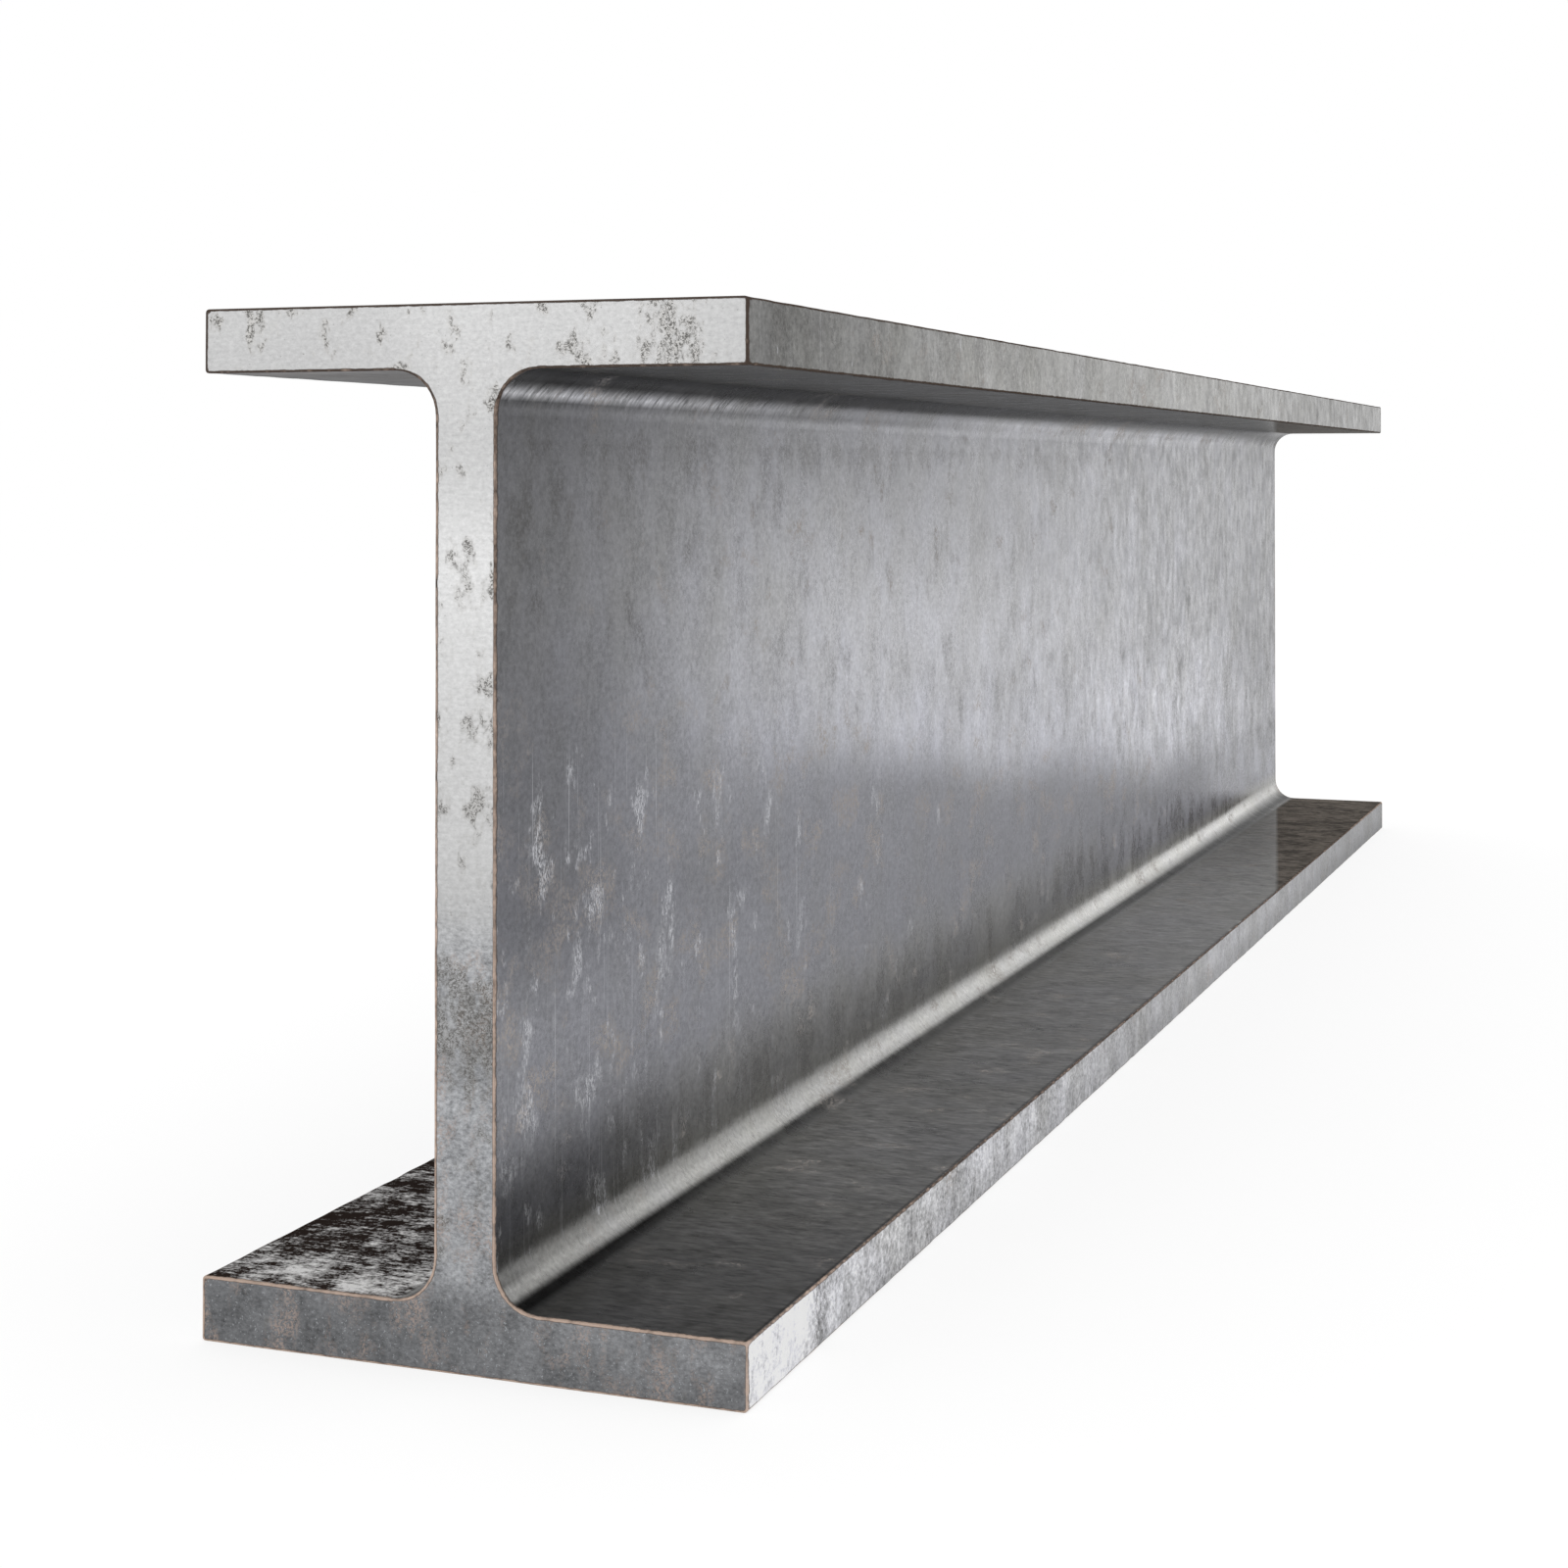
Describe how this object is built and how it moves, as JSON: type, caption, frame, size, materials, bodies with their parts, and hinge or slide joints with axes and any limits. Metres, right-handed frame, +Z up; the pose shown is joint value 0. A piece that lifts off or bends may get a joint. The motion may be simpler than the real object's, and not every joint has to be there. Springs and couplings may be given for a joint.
{
  "type": "steel i-beam",
  "caption": "Hot-rolled steel I-beam with parallel flanges, a thick web and filleted roots, sawn square at both ends and lying with its web upright.",
  "frame": {"origin": "centre of the bottom flange's underside, which is the face that the beam lies on", "axes": "+X along the beam from one sawn end to the other, +Y across the flanges, +Z up the web from the bottom flange to the top flange"},
  "size_m": [1, 0.136, 0.24],
  "materials": {
    "hot_rolled_steel": "satin"
  },
  "bodies": {
    "root": {"i_beam": "hot_rolled_steel"}
  },
  "joints": []
}
